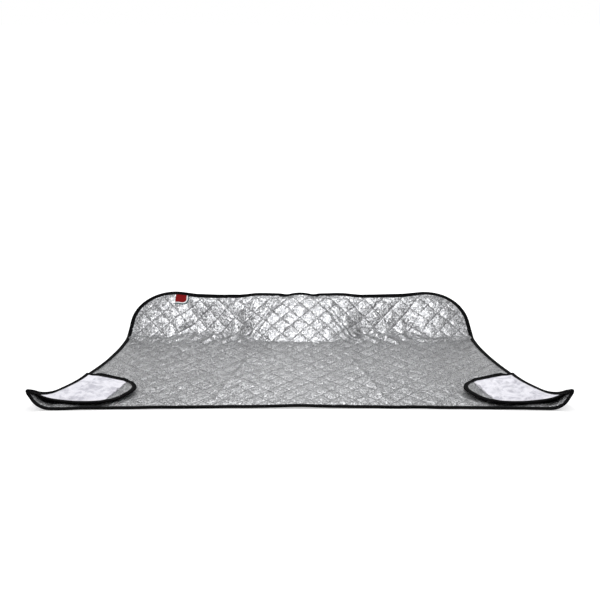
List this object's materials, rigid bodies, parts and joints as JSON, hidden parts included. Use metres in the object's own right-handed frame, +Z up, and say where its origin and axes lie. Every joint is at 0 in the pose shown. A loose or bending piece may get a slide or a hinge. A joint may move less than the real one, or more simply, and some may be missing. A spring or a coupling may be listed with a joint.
{
  "type": "windshield frost cover",
  "caption": "Quilted silver foil windshield frost cover with a white fleece lining, black edge binding and folded door flaps, laid out flat",
  "frame": {"origin": "centre of the bounding box in plan, at the level of the ground that the lining lies on", "axes": "+X runs across the car along the front edge, +Y runs back from the long front edge to the propped rear strip, +Z is up"},
  "size_m": [1.6118, 0.8594, 0.1207],
  "materials": {
    "silver_foil": "aluminised polyester foil laminated to thin wadding, crinkled, half gloss",
    "white_fleece": "short-pile matte fleece",
    "black_tape": "woven polyester binding tape, matte",
    "red_label": "plain woven sewn-in label, matte"
  },
  "bodies": {
    "root": {"quilted_foil_face": "silver_foil", "fleece_lining": "white_fleece", "front_binding": "black_tape", "right_seam_binding": "black_tape", "rear_binding": "black_tape", "left_seam_binding": "black_tape", "right_flap_face": "silver_foil", "right_flap_lining": "white_fleece", "right_flap_tip_patch": "silver_foil", "right_flap_binding": "black_tape", "left_flap_face": "silver_foil", "left_flap_lining": "white_fleece", "left_flap_tip_patch": "silver_foil", "left_flap_binding": "black_tape", "rear_label": "red_label"}
  },
  "joints": []
}
